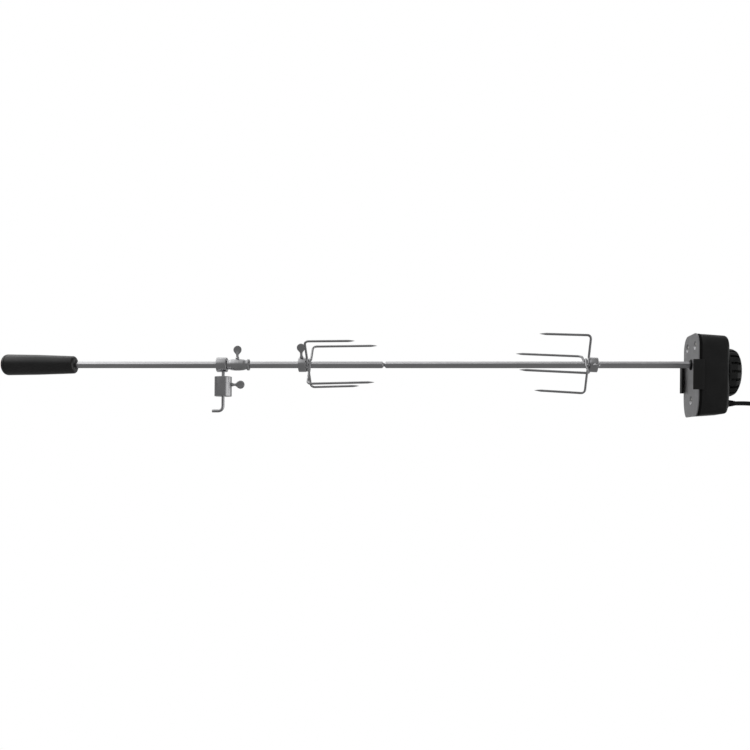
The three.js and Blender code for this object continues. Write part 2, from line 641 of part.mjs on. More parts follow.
function cord() {
  const ring = coilRing(0);
  const clear = coilRing(GAP);
  place('cord_coil', ring, 'cord', kit);
  place('cord_lead', cut(sweep(smooth(vectors(LEAD_ROUTE), 12), CORD.radius, 8), clear), 'cord', kit);
  place('cord_tail', cut(sweep(smooth(vectors(TAIL_ROUTE), 5), CORD.radius, 8), clear), 'cord', kit);

  const half = COIL.lane + CORD.radius;
  const high = CORD.lift + 2 * CORD.radius + COIL.lane;
  const inner = COIL.y + COIL.mean - half - 0.7;
  const outer = COIL.y + COIL.mean + half + 0.4;
  const strap = block(-4, 4, inner - 0.8, outer + 0.8, 0, high + 1.2);
  const opening = block(-5, 5, inner, outer, 0.8, high + 0.4);
  place('cord_tie', cut(strap, opening).translate(COIL.x, 0, 0), 'black', kit);
}

function plug() {
  const { x, y, z, neck, length, halfWidth } = PLUG;
  const bodyFrom = x + neck;
  const bodyTo = bodyFrom + length;
  const outline = new THREE.Shape();
  outline.moveTo(-halfWidth, -z);
  outline.lineTo(halfWidth, -z);
  outline.lineTo(halfWidth, 6);
  outline.absarc(0, 6, halfWidth, 0, Math.PI);
  const body = prism(outline, bodyFrom, bodyTo, 6).translate(0, y, z);
  const relief = turned([[x, 0], [x, 4.2], [bodyFrom + 1, 7.5], [bodyFrom + 1, 0]], 16);
  const pinHoles = [];
  const pinFrom = bodyTo - 6;
  for (const [name, offset] of [['plug_blade_live', -6.35], ['plug_blade_neutral', 6.35]]) {
    const blade = block(pinFrom, bodyTo + 16, offset - 0.75, offset + 0.75, -6.2, 0.2);
    place(name, blade.clone().translate(0, y, z), 'brass', kit);
    pinHoles.push(block(pinFrom - GAP, bodyTo + 2, offset - 1.05, offset + 1.05, -6.5, 0.5));
  }
  const earthZ = 8.9;
  const earth = turned([
    [pinFrom, 0], [pinFrom, 2.4], [bodyTo + 17, 2.4], [bodyTo + 19, 1.2], [bodyTo + 19, 0],
  ], 14);
  place('plug_pin_earth', earth.translate(0, y, z + earthZ), 'brass', kit);
  pinHoles.push(rod(pinFrom - GAP, bodyTo + 2, 2.7, 14).translate(0, 0, earthZ));
  pinHoles.forEach((hole) => hole.translate(0, y, z));
  const housing = cut(join(body, relief.translate(0, y, z)), ...pinHoles);
  place('plug_body', housing, 'cord', kit);
}

mountingPlate();
caseGasket();
housingShell();
ventCap();
rails();
plateScrews();
gearHead();
driveSocket();
gearboxFrame();
motor();
inletLeads();
strainRelief();
spit();
handle();
FORKS.forEach(fork);
bushing();
counterweight();
cord();
plug();

export default kit;
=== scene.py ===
"""The looks of a grill rotisserie kit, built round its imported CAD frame.

Pieces are drawn in millimetres about the spit: x from the front face of the motor's mounting
plate, y and z from the spit's centre line. `piece` then puts each one where the CAD node that it
stands for is. The cord is drawn in the row frame itself.
"""

import json
import math

import bmesh
import bpy
from mathutils import Matrix, Vector, noise


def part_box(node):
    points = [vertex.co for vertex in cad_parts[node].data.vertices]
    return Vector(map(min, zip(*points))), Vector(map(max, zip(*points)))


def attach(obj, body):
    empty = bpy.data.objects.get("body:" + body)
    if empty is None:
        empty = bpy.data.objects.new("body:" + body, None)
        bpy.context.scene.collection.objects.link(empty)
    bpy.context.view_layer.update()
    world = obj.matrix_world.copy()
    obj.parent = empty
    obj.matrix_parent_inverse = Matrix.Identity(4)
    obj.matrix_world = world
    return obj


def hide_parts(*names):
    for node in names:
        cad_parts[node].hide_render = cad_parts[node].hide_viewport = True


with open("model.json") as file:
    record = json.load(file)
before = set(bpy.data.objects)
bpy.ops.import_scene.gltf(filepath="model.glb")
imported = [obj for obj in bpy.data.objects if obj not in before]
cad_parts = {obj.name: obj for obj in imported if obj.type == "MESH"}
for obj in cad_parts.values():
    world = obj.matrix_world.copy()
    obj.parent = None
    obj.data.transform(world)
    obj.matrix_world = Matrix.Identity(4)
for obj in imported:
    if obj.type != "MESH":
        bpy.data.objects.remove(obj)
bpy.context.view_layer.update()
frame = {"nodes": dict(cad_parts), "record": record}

MM = 0.001
RECORD = frame["record"]
BODY_OF = {n: body for body, nodes in RECORD["behaviour"]["bodies"].items() for n in nodes}
SLOT_OF = {part["node"]: part["material_slot"] for part in RECORD["subparts"]}


def low(node):
    return Vector(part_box(node)[0])


def high(node):
    return Vector(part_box(node)[1])


ORIGIN = Vector((low("mounting_plate").x, 0, (low("drive_socket").z + high("drive_socket").z) / 2))
TO_ROW = Matrix.Translation(ORIGIN) @ Matrix.Scale(MM, 4)


def first(node):
    """A node's lowest corner, in millimetres about the spit."""
    return (low(node) - ORIGIN) / MM


def last(node):
    return (high(node) - ORIGIN) / MM


def width(node):
    return last(node) - first(node)


# ---- camera ----

CAMERA_PLACE = (0.138, -1.4, -0.066)
CAMERA_YAW = math.radians(4.5)
CAMERA_ROLL = math.radians(0.47)
FOCAL = 42.6
HORIZON_SHIFT = 0.1095


def camera():
    data = bpy.data.cameras.new("camera")
    data.lens = FOCAL
    data.shift_y = HORIZON_SHIFT
    eye = bpy.data.objects.new("camera", data)
    eye.location = CAMERA_PLACE
    level = Matrix.Rotation(CAMERA_YAW, 4, "Z") @ Matrix.Rotation(math.pi / 2, 4, "X")
    eye.rotation_euler = (level @ Matrix.Rotation(CAMERA_ROLL, 4, "Z")).to_euler()
    bpy.context.scene.collection.objects.link(eye)
    bpy.context.scene.camera = eye


# ---- solids ----


def from_bmesh(bm):
    bmesh.ops.remove_doubles(bm, verts=bm.verts, dist=1e-4)
    bmesh.ops.recalc_face_normals(bm, faces=bm.faces)
    mesh = bpy.data.meshes.new("piece")
    bm.to_mesh(mesh)
    bm.free()
    obj = bpy.data.objects.new("piece", mesh)
    bpy.context.scene.collection.objects.link(obj)
    return obj


def loft(rings, wrap=False):
    """A skin over rings of points. A ring of one point is a pole, and open ends are capped."""
    bm = bmesh.new()
    rows = [[bm.verts.new(p) for p in ring] for ring in rings]
    pairs = list(zip(rows, rows[1:])) + ([(rows[-1], rows[0])] if wrap else [])
    for a, b in pairs:
        count = max(len(a), len(b))
        for i in range(count):
            j = (i + 1) % count
            corners = [a[i % len(a)], a[j % len(a)], b[j % len(b)], b[i % len(b)]]
            bm.faces.new(dict.fromkeys(corners))
    for row in [] if wrap else (rows[0], rows[-1]):
        if len(row) > 2:
            bm.faces.new(row)
    return from_bmesh(bm)


def rounded(points, steps=4):
    """The outline through (a, b) points, each corner rounded by its own third value."""
    outline = []
    for i, point in enumerate(points):
        here = Vector(point[:2])
        if len(point) < 3:
            outline.append(here)
            continue
        before = (Vector(points[i - 1][:2]) - here).normalized()
        after = (Vector(points[(i + 1) % len(points)][:2]) - here).normalized()
        half = before.angle(after) / 2
        centre = here + (before + after).normalized() * point[2] / math.sin(half)
        start = here + before * point[2] / math.tan(half) - centre
        end = here + after * point[2] / math.tan(half) - centre
        for k in range(steps + 1):
            outline.append(centre + start.lerp(end, k / steps).normalized() * point[2])
    return outline


def circle(x, radius, count, phase=0.0):
    angles = [phase + 2 * math.pi * i / count for i in range(count)]
    return [Vector((x, radius * math.cos(a), radius * math.sin(a))) for a in angles]


def turned(profile, segments=64):
    """A solid turned about x, from (x, radius) or (x, radius, rounding) points.

    A profile that starts off the axis closes on itself, and gives a ring."""
    ring = profile[0][1] > 0
    outline = rounded(profile)
    rings = [circle(x, r, segments) if r > 1e-6 else [Vector((x, 0, 0))] for x, r in outline]
    return loft(rings, wrap=ring)


def prism(outline, x0, x1):
    """A (y, z) outline drawn along x."""
    return loft([[Vector((x, y, z)) for y, z in outline] for x in (x0, x1)])


def block(lo, hi):
    corners = [(lo[1], lo[2]), (hi[1], lo[2]), (hi[1], hi[2]), (lo[1], hi[2])]
    return prism(corners, lo[0], hi[0])


def frames(points):
    """Each point of a path with two axes across it that never twist."""
    count = len(points)
    ways = []
    for i in range(count):
        ways.append((points[min(i + 1, count - 1)] - points[max(i - 1, 0)]).normalized())
    side = ways[0].orthogonal().normalized()
    placed = []
    for point, way in zip(points, ways):
        side = (side - way * side.dot(way)).normalized()
        placed.append((point, side, way.cross(side)))
    return placed


def tube(points, radii, sides=16):
    rings = []
    for (point, side, up), radius in zip(frames(points), radii):
        angles = [2 * math.pi * i / sides for i in range(sides)]
        rings.append([point + (side * math.cos(a) + up * math.sin(a)) * radius for a in angles])
    return loft(rings)


def combine(obj, operation, tools):
    for tool in tools:
        step = obj.modifiers.new("combine", "BOOLEAN")
        step.operation = operation
        step.solver = "EXACT"
        step.object = tool
    graph = bpy.context.evaluated_depsgraph_get()
    mesh = bpy.data.meshes.new_from_object(obj.evaluated_get(graph))
    obj.modifiers.clear()
    obj.data = mesh
    for tool in tools:
        bpy.data.objects.remove(tool)
    return obj


def cut(obj, *tools):
    return combine(obj, "DIFFERENCE", tools)


def join(obj, *tools):
    return combine(obj, "UNION", tools)


def moved(obj, x=0.0, y=0.0, z=0.0):
    obj.data.transform(Matrix.Translation((x, y, z)))
    return obj


def turn(obj, degrees, axis="X"):
    obj.data.transform(Matrix.Rotation(math.radians(degrees), 4, axis))
    return obj


def eased(obj, width, segments=2, angle=32):
    """Rounds every edge sharper than the angle."""
    bm = bmesh.new()
    bm.from_mesh(obj.data)
    bmesh.ops.dissolve_limit(bm, angle_limit=0.002, verts=bm.verts, edges=bm.edges)
    edges = [e for e in bm.edges if e.is_manifold and e.calc_face_angle(0) > math.radians(angle)]
    bmesh.ops.bevel(
        bm, geom=edges, offset=width, segments=segments, profile=0.5, affect="EDGES",
        clamp_overlap=True,
    )
    bm.to_mesh(obj.data)
    bm.free()
    return obj


def finish_piece(obj, name, body, slot, nodes, crease=40):
    obj.name = name
    obj.data.name = name
    if obj.type == "MESH":
        obj.data.shade_smooth()
        obj.data.set_sharp_from_angle(angle=math.radians(crease))
    obj.data.materials.clear()
    obj.data.materials.append(LOOKS[slot])
    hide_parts(*nodes)
    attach(obj, body)
    return obj


def piece(obj, *nodes):
    """obj, drawn in millimetres about the spit, stands for those nodes."""
    obj.data.transform(TO_ROW)
    return finish_piece(obj, f"{nodes[0]}_fine", BODY_OF[nodes[0]], SLOT_OF[nodes[0]], nodes)


# ---- materials ----


class Look:
    """A Principled material whose textures are measured in metres on the piece."""

    def __init__(self, name, colour, roughness, metallic=0.0, **sockets):
        self.material = bpy.data.materials.new(name)
        self.material.use_nodes = True
        self.nodes = self.material.node_tree.nodes
        self.links = self.material.node_tree.links
        self.shader = self.nodes["Principled BSDF"]
        self.set("Base Color", (*colour, 1))
        self.set("Roughness", roughness)
        self.set("Metallic", metallic)
        for socket, value in sockets.items():
            self.set(socket.replace("_", " "), value)
        self.place = self.add("ShaderNodeTexCoord").outputs["Object"]

    def set(self, socket, value, node=None):
        target = (node or self.shader).inputs[socket]
        if isinstance(value, bpy.types.NodeSocket):
            self.links.new(value, target)
        else:
            target.default_value = value

    def add(self, kind, **inputs):
        node = self.nodes.new(kind)
        for socket, value in inputs.items():
            self.set(socket.replace("_", " "), value, node)
        return node

    def stretched(self, x, y, z):
        return self.add("ShaderNodeMapping", Vector=self.place, Scale=(x, y, z)).outputs["Vector"]

    def noise(self, size, detail=3.0, place=None):
        where = place or self.place
        node = self.add("ShaderNodeTexNoise", Vector=where, Scale=1 / size, Detail=detail)
        return node.outputs["Fac"]

    def grains(self, size):
        node = self.add("ShaderNodeTexVoronoi", Vector=self.place, Scale=1 / size)
        return node.outputs["Color"]

    def spread(self, factor, lowest, highest, start=0.3, end=0.7):
        node = self.add("ShaderNodeMapRange", Value=factor)
        ends = {"From Min": start, "From Max": end, "To Min": lowest, "To Max": highest}
        for socket, value in ends.items():
            self.set(socket, value, node)
        return node.outputs["Result"]

    def rough(self, factor, lowest, highest):
        self.set("Roughness", self.spread(factor, lowest, highest))

    def tint(self, factor, dark, light):
        node = self.add("ShaderNodeMix")
        node.data_type = "RGBA"
        self.links.new(self.spread(factor, 0, 1), node.inputs["Factor"])
        colours = [socket for socket in node.inputs if socket.type == "RGBA"]
        colours[0].default_value = (*dark, 1)
        colours[1].default_value = (*light, 1)
        result = next(socket for socket in node.outputs if socket.type == "RGBA")
        self.set("Base Color", result)

    def bump(self, height, depth, strength=1.0):
        node = self.add("ShaderNodeBump", Height=height, Distance=depth, Strength=strength)
        if self.shader.inputs["Normal"].is_linked:
            self.links.new(self.shader.inputs["Normal"].links[0].from_socket, node.inputs["Normal"])
        self.set("Normal", node.outputs["Normal"])


def grey(value):
    return (value, value, value * 1.02)


def plating(name, shade, roughness, metallic=1.0):
    """Nickel and chrome over cast or turned steel: faint orange peel and handling smudges."""
    look = Look(name, grey(shade), roughness, metallic)
    smudge = look.noise(0.018, 4)
    look.tint(smudge, grey(shade * 0.88), grey(shade * 1.04))
    look.rough(look.noise(0.006, 5), roughness * 0.8, roughness * 1.3)
    look.bump(look.noise(0.0012, 2), 0.000004, 0.4)
    look.bump(look.noise(0.00025, 2), 0.000001, 0.4)
    return look.material


def drawn_bar():
    """Plated drawn bar: fine lines along x, with longer soft streaks in the plating."""
    look = Look("chrome_bar", grey(0.62), 0.3, 1.0)
    lines = look.noise(0.00035, 3, look.stretched(0.015, 1, 1))
    streaks = look.noise(0.004, 3, look.stretched(0.06, 1, 1))
    look.tint(streaks, grey(0.55), grey(0.65))
    look.rough(lines, 0.24, 0.36)
    look.bump(lines, 0.000002, 0.5)
    look.bump(look.noise(0.003, 3), 0.000006, 0.3)
    return look.material


def galvanised():
    """Zinc-plated sheet: soft crystals, rolling lines and a dull bloom."""
    look = Look("galvanised", grey(0.42), 0.42, 0.85)
    crystals = look.grains(0.0035)
    mottle = look.noise(0.012, 5)
    look.tint(mottle, grey(0.37), grey(0.47))
    look.rough(mottle, 0.36, 0.5)
    look.bump(crystals, 0.00001, 0.35)
    look.bump(look.noise(0.0003, 2, look.stretched(1, 1, 0.05)), 0.000008, 0.5)
    return look.material


def moulded_black():
    """Spark-eroded moulded plastic: a fine even grain, with a little bloom where it is handled."""
    look = Look("housing_black", grey(0.006), 0.42, Specular_IOR_Level=0.5)
    look.tint(look.noise(0.03, 4), grey(0.005), grey(0.0085))
    look.rough(look.noise(0.015, 4), 0.36, 0.5)
    look.bump(look.noise(0.0007, 2), 0.00004, 0.5)
    look.bump(look.noise(0.00025, 2), 0.00002, 0.5)
    return look.material


def phenolic_black():
    """Pressed phenolic, polished: nearly smooth, with hairline marks along it."""
    look = Look("grip_black", grey(0.008), 0.34, Coat_Weight=0.25, Coat_Roughness=0.22)
    look.tint(look.noise(0.02, 4), grey(0.0065), grey(0.01))
    hairs = look.noise(0.0006, 2, look.stretched(0.04, 1, 1))
    look.rough(look.noise(0.009, 4), 0.29, 0.4)
    look.bump(hairs, 0.000008, 0.4)
    look.bump(look.noise(0.005, 2), 0.00006, 0.3)
    return look.material


def turned_metal(name, colour, roughness, metallic=1.0):
    """Turned metal: fine tool rings across x, and an oily mottle."""
    look = Look(name, colour, roughness, metallic)
    dark = tuple(c * 0.82 for c in colour)
    look.tint(look.noise(0.006, 4), dark, colour)
    rings = look.noise(0.0004, 2, look.stretched(1, 0.03, 0.03))
    look.rough(look.noise(0.004, 4), roughness * 0.8, roughness * 1.25)
    look.bump(rings, 0.00001, 0.5)
    return look.material


def zinc_screw():
    """Bright zinc with a faint yellow passivation."""
    look = Look("zinc_screw", (0.72, 0.72, 0.7), 0.25, 1.0)
    look.tint(look.noise(0.002, 3), (0.6, 0.59, 0.54), (0.76, 0.76, 0.75))
    look.rough(look.noise(0.0015, 3), 0.2, 0.34)
    look.bump(look.noise(0.0004, 2), 0.00001, 0.4)
    return look.material


def sintered_bronze():
    """Pressed bronze powder, with open pores and oil."""
    look = Look("bronze", (0.35, 0.2, 0.09), 0.42, 1.0)
    look.tint(look.noise(0.0025, 5), (0.26, 0.14, 0.06), (0.4, 0.24, 0.11))
    look.rough(look.noise(0.001, 3), 0.34, 0.55)
    look.bump(look.noise(0.00025, 3), 0.00003, 0.6)
    return look.material


def natural_nylon():
    """Cream nylon, slightly clear, smeared with grease."""
    look = Look(
        "nylon", (0.72, 0.68, 0.58), 0.4,
        Subsurface_Weight=0.15, Subsurface_Radius=(0.002, 0.0015, 0.001),
    )
    look.tint(look.noise(0.008, 4), (0.6, 0.54, 0.42), (0.76, 0.73, 0.64))
    look.rough(look.noise(0.003, 3), 0.25, 0.5)
    look.bump(look.noise(0.001, 3), 0.00002, 0.4)
    return look.material


def enamelled_copper():
    """Wound enamelled wire: fine even turns round x under a clear varnish."""
    look = Look("copper", (0.45, 0.14, 0.05), 0.3, 0.9, Coat_Weight=0.4, Coat_Roughness=0.15)
    wave = look.add("ShaderNodeTexWave", Vector=look.place, Scale=160.0, Distortion=0.6)
    look.tint(look.noise(0.004, 4), (0.33, 0.09, 0.035), (0.5, 0.17, 0.06))
    look.rough(look.noise(0.002, 3), 0.24, 0.4)
    look.bump(wave.outputs["Fac"], 0.00012, 0.8)
    return look.material


def ferrite():
    """Ground ceramic magnet, dark and slightly grainy."""
    look = Look("ferrite", (0.045, 0.045, 0.048), 0.5, 0.3)
    look.tint(look.noise(0.003, 5), (0.03, 0.03, 0.033), (0.06, 0.06, 0.063))
    look.rough(look.noise(0.001, 3), 0.42, 0.62)
    look.bump(look.noise(0.0003, 3), 0.00003, 0.6)
    return look.material


def cord_jacket():
    """Flexible cord jacket: soft sheen, extrusion streaks and a dusty bloom."""
    look = Look("cord_pvc", grey(0.006), 0.46, Specular_IOR_Level=0.4)
    look.tint(look.noise(0.012, 4), grey(0.005), grey(0.009))
    look.rough(look.noise(0.006, 4), 0.38, 0.56)
    look.bump(look.noise(0.0009, 3), 0.00004, 0.4)
    look.bump(look.noise(0.0003, 2), 0.00001, 0.4)
    return look.material


def matt_rubber():
    """A pressed rubber seal: dull, with a dusty bloom and fine pits."""
    look = Look("gasket", grey(0.003), 0.75, Specular_IOR_Level=0.2)
    look.tint(look.noise(0.008, 4), grey(0.0025), grey(0.005))
    look.rough(look.noise(0.003, 3), 0.66, 0.84)
    look.bump(look.noise(0.0006, 3), 0.00003, 0.5)
    return look.material


LOOKS = {
    "galvanised": galvanised(),
    "housing_black": moulded_black(),
    "grip_black": phenolic_black(),
    "chrome_bar": drawn_bar(),
    "chrome": plating("chrome", 0.6, 0.24),
    "wire_chrome": plating("wire_chrome", 0.5, 0.3),
    "zinc_screw": zinc_screw(),
    "machined_steel": turned_metal("machined_steel", grey(0.42), 0.3),
    "black_oxide": turned_metal("black_oxide", grey(0.035), 0.34),
    "gasket": matt_rubber(),
    "bronze": sintered_bronze(),
    "nylon": natural_nylon(),
    "brass": turned_metal("brass", (0.55, 0.38, 0.13), 0.26),
    "copper": enamelled_copper(),
    "ferrite": ferrite(),
    "cord_pvc": cord_jacket(),
    "pin_brass": turned_metal("pin_brass", (0.6, 0.45, 0.2), 0.22),
}

# ---- the mains cord, in the row frame ----

CORD_RADIUS = 3.3 * MM
RELIEF_INSIDE = 2.5 * MM
LEAD_ROUTE = [
    (0.5761, -0.015, 0.02), (0.585, -0.015, 0.0201), (0.595, -0.015, 0.0199),
    (0.605, -0.015, 0.0188), (0.615, -0.015, 0.0166), (0.625, -0.015, 0.0134),
    (0.635, -0.015, 0.0099), (0.645, -0.015, 0.0069), (0.655, -0.015, 0.005),
    (0.6645, -0.015, 0.0045),
]
TAIL_ROUTE = [
    (0.6645, -0.015, 0.0112), (0.674, -0.015, 0.0113), (0.684, -0.015, 0.0118),
    (0.693, -0.015, 0.0125), (0.7022, -0.015, 0.013),
]
COIL_LANES = 3
COIL_TURNS = 2 * COIL_LANES
TURN_POINTS = 28
LANE_OF_TURN = [*range(COIL_LANES), *reversed(range(COIL_LANES))]
STEP_FROM = 0.72  # the part of a turn after which it steps across to the next lane


def smooth(value):
    value = min(max(value, 0.0), 1.0)
    return value * value * (3 - 2 * value)


def coil_points():
    """The wound turns: inward lane by lane on the bottom layer, then back out on top.

    Each turn keeps its lane until its last part, where it steps across to the next."""
    lo, hi = low("cord_coil"), high("cord_coil")
    centre = (lo + hi) / 2
    outer = (hi.x - lo.x) / 2 - CORD_RADIUS
    lane = hi.z - lo.z - 2 * CORD_RADIUS
    points = []
    for i in range(1, COIL_TURNS * TURN_POINTS):
        turns = i / TURN_POINTS
        which, part = int(turns), turns % 1
        step = smooth((part - STEP_FROM) / (1 - STEP_FROM)) if which < COIL_TURNS - 1 else 0
        here, ahead = LANE_OF_TURN[which], LANE_OF_TURN[min(which + 1, COIL_TURNS - 1)]
        across = here + (ahead - here) * step
        layer = 1 if which >= COIL_LANES else (step if which == COIL_LANES - 1 else 0)
        angle = -math.pi / 2 + 2 * math.pi * turns
        radius = outer - lane * across
        height = lo.z + CORD_RADIUS + lane * layer
        x, y = radius * math.cos(angle), radius * math.sin(angle)
        points.append(Vector((centre.x + x, centre.y + y, height)))
    return points


def catmull(points, steps):
    """A smooth line through the points."""
    ends = [points[0] * 2 - points[1], *points, points[-1] * 2 - points[-2]]
    line = []
    for a, b, c, d in zip(ends, ends[1:], ends[2:], ends[3:]):
        for k in range(steps):
            t = k / steps
            square, cube = a * 2 - b * 5 + c * 4 - d, b * 3 - a - c * 3 + d
            line.append((b * 2 + (c - a) * t + square * t**2 + cube * t**3) / 2)
    return [*line, points[-1]]


def path_length(points):
    return sum((b - a).length for a, b in zip(points, points[1:]))


def mains_cord():
    lead = [Vector(p) for p in LEAD_ROUTE]
    start = Vector((high("strain_relief").x - RELIEF_INSIDE, lead[0].y, lead[0].z))
    tail = [Vector(p) for p in TAIL_ROUTE]
    line = catmull([start, *lead, *coil_points(), *tail], 2)
    curve = bpy.data.curves.new("mains_cord", "CURVE")
    curve.dimensions = "3D"
    curve.bevel_depth = CORD_RADIUS
    curve.bevel_resolution = 5
    curve.use_fill_caps = True
    spline = curve.splines.new("POLY")
    spline.points.add(len(line) - 1)
    for point, place in zip(spline.points, line):
        point.co = (*place, 1)
    spline.use_smooth = True
    cord = bpy.data.objects.new("mains_cord", curve)
    bpy.context.scene.collection.objects.link(cord)
    nodes = ("cord_lead", "cord_coil", "cord_tail")
    finish_piece(cord, "mains_cord", BODY_OF["cord_coil"], SLOT_OF["cord_coil"], nodes)
    return cord, start, path_length(line)


def cord_tie():
    """A hook-and-loop strap round the coil's far side."""
    lo, hi = low("cord_tie"), high("cord_tie")
    inset = 0.8 * MM
    rounding = 3 * MM

    def outline(grow):
        corners = [
            (lo.y - grow, lo.z - grow), (hi.y + grow, lo.z - grow),
            (hi.y + grow, hi.z + grow), (lo.y - grow, hi.z + grow),
        ]
        return rounded([(y, z, rounding + grow) for y, z in corners], 6)

    strap = loft([[Vector((x, y, z)) for y, z in outline(0)] for x in (lo.x, hi.x)])
    opening = loft([
        [Vector((x, y, z)) for y, z in outline(-inset)] for x in (lo.x - MM, hi.x + MM)
    ])
    cut(strap, opening)
    eased(strap, 0.2 * MM)
    body, slot = BODY_OF["cord_tie"], SLOT_OF["cord_tie"]
    return finish_piece(strap, "cord_tie_fine", body, slot, ["cord_tie"])


# ---- the motor's case ----

CORNER = 22  # radius of the plate's top corners
FOOT = 24  # half the plate's straight lower edge
EDGE_POINTS = 14
PLATE_SCREWS = ("plate_screw_1", "plate_screw_2", "plate_screw_3")


def case_outline(inset):
    """The plate's outline: an arch with round shoulders that narrows to a straight foot."""
    half, top = last("mounting_plate").y, last("mounting_plate").z
    bottom = first("mounting_plate").z
    points = []
    for centre, start in ((1, 0.0), (-1, math.pi / 2)):
        for i in range(EDGE_POINTS + 1):
            a = start + math.pi / 2 * i / EDGE_POINTS
            points.append(Vector((
                centre * (half - CORNER) + CORNER * math.cos(a), top - CORNER + CORNER * math.sin(a)
            )))
    bend = [Vector(p) for p in ((-half, -48), (-half, -62), (-34, bottom), (-FOOT, bottom))]
    left = []
    for i in range(EDGE_POINTS + 1):
        t = i / EDGE_POINTS
        weights = ((1 - t) ** 3, 3 * t * (1 - t) ** 2, 3 * t**2 * (1 - t), t**3)
        left.append(sum((p * w for p, w in zip(bend, weights)), Vector((0, 0))))
    points += left + [Vector((-p.x, p.y)) for p in reversed(left)]
    if not inset:
        return points
    shrunk = []
    for i, point in enumerate(points):
        along = points[(i + 1) % len(points)] - points[i - 1]
        shrunk.append(point + Vector((-along.y, along.x)).normalized() * inset)
    return shrunk


def screw_places():
    return [(first(n) + last(n)) / 2 for n in PLATE_SCREWS]


def mounting_plate():
    thick = width("guide_rail").y * 0.7
    back = last("mounting_plate").x
    sheet = prism(case_outline(0), 0, thick)
    cups = []
    dimples = []
    for place in screw_places():
        cup = turned([(0.4, 0), (0.4, 8), (thick, 7.8, 0.6), (back, 5.8, 0.8), (back, 0)], 48)
        cups.append(moved(cup, y=place.y, z=place.z))
        hollow = [
            (-1, 0), (-1, 8), (0, 7, 0.8), (back - 1.2, 4.8, 0.8), (back - 1.2, 2.4),
            (6, 2.4), (6, 0),
        ]
        dimples.append(moved(turned(hollow, 48), y=place.y, z=place.z))
    join(sheet, *cups)
    cut(sheet, turned([(-1, 0), (-1, 8.6), (4, 8.6), (4, 0)], 64), *dimples)
    piece(eased(sheet, 0.22), "mounting_plate")


BACK_EDGE = 5
WALL = 2.5
DRAFT = 0.054
VENT_RADIUS = 33
GLAND_BORE = 5.3


def case_loft(stations):
    """A skin over the case's outline at (x, inset) stations, with its moulding draft."""
    lo, hi = first("mounting_plate"), last("mounting_plate")
    middle = (lo.z + hi.z) / 2
    front, depth = first("housing_shell").x, last("housing_shell").x
    rings = []
    for x, inset in stations:
        scale = 1 - DRAFT * max(x - front, 0) / depth
        rings.append([
            Vector((x, y * scale, middle + (z - middle) * scale)) for y, z in case_outline(inset)
        ])
    return loft(rings)


def case_gasket():
    lo, hi = first("case_gasket").x, last("case_gasket").x
    ring = prism(case_outline(0.7), lo, hi)
    cut(ring, prism(case_outline(2.9), lo - 1, hi + 1))
    piece(eased(ring, 0.3, 3), "case_gasket")


def housing_shell():
    front, back = first("housing_shell").x, last("housing_shell").x
    quarter = [math.pi / 2 * i / 8 for i in range(9)]
    edge = [
        (back - BACK_EDGE + BACK_EDGE * math.sin(a), 1 + BACK_EDGE * (1 - math.cos(a)))
        for a in quarter
    ]
    rim = [(front, 1.4), (front + 0.2, 1.05), (front + 0.6, 0.9)]
    body = [(14, 0.9), (22, 0.9), (30, 0.9)]
    skin = case_loft([*rim, *body, *edge])
    hollow = case_loft([(-5, WALL + 1), (back - WALL, WALL + 1)])
    cap = (first("vent_cap") + last("vent_cap")) / 2
    vent = turned([
        (back - 6, 0), (back - 6, VENT_RADIUS), (back + 6, VENT_RADIUS), (back + 6, 0),
    ], 96)
    gland = (first("strain_relief") + last("strain_relief")) / 2
    hole = turned([
        (back - 6, 0), (back - 6, GLAND_BORE), (back + 6, GLAND_BORE), (back + 6, 0),
    ], 32)
    cut(skin, hollow, moved(vent, z=cap.z), moved(hole, y=gland.y, z=gland.z))
    posts = []
    for place in screw_places():
        post = turned([(4.5, 1.9), (4.5, 4.5, 0.5), (back - 1, 4.5), (back - 1, 1.9)], 32)
        posts.append(moved(post, y=place.y, z=place.z))
    piece(join(skin, *posts), "housing_shell")


CAP_SLOTS = 18
SLOT_HALF = 2
FIRST_SLOT = 182


def vent_cap():
    """A domed cap with round-ended slots that run up its side and over its shoulder."""
    foot, top = first("vent_cap").x, last("vent_cap").x
    radius = width("vent_cap").y / 2
    wall = 2.3
    dome = turned([
        (top - wall, 0), (top - wall - 0.7, 20, 8), (top - 5, 28.4, 3),
        (top - 11, radius - wall - 0.8, 3), (foot, radius - wall), (foot, radius, 0.5),
        (top - 10, radius - 0.8, 6), (top - 4.6, radius - 3.6, 3), (top - 1.6, 28, 3),
        (top - 0.6, 20, 10), (top, 0),
    ], 180)
    lo, hi = foot + 2.2, top - 4.5
    ends = [(lo, -SLOT_HALF), (hi, -SLOT_HALF), (hi, SLOT_HALF), (lo, SLOT_HALF)]
    outline = rounded([(x, z, 1.9) for x, z in ends], 5)
    slots = []
    for i in range(CAP_SLOTS):
        slot = loft([[Vector((x, y, z)) for x, z in outline] for y in (26, 40)])
        slots.append(turn(slot, FIRST_SLOT + 360 / CAP_SLOTS * i))
    cut(dome, *slots)
    middle = (first("vent_cap").z + last("vent_cap").z) / 2
    piece(moved(eased(dome, 0.25, 2, 50), z=middle), "vent_cap")


def rails():
    lo, hi = first("guide_rail"), last("guide_rail")
    piece(eased(block(lo, hi), 0.6, 4), "guide_rail")
    lo, hi = first("hook_rail"), last("hook_rail")
    thick = width("guide_rail").y
    lip_back = lo.x + 1.3
    section = [
        (lo.x, lo.y, 0.5), (lip_back, lo.y, 0.5), (lip_back, hi.y - thick, 0.4),
        (hi.x, hi.y - thick, 0.5), (hi.x, hi.y, 0.5), (lo.x, hi.y, 1.2),
    ]
    outline = rounded(section, 5)
    rail = loft([[Vector((x, y, z)) for x, y in outline] for z in (lo.z, hi.z)])
    piece(eased(rail, 0.3, 3), "hook_rail")


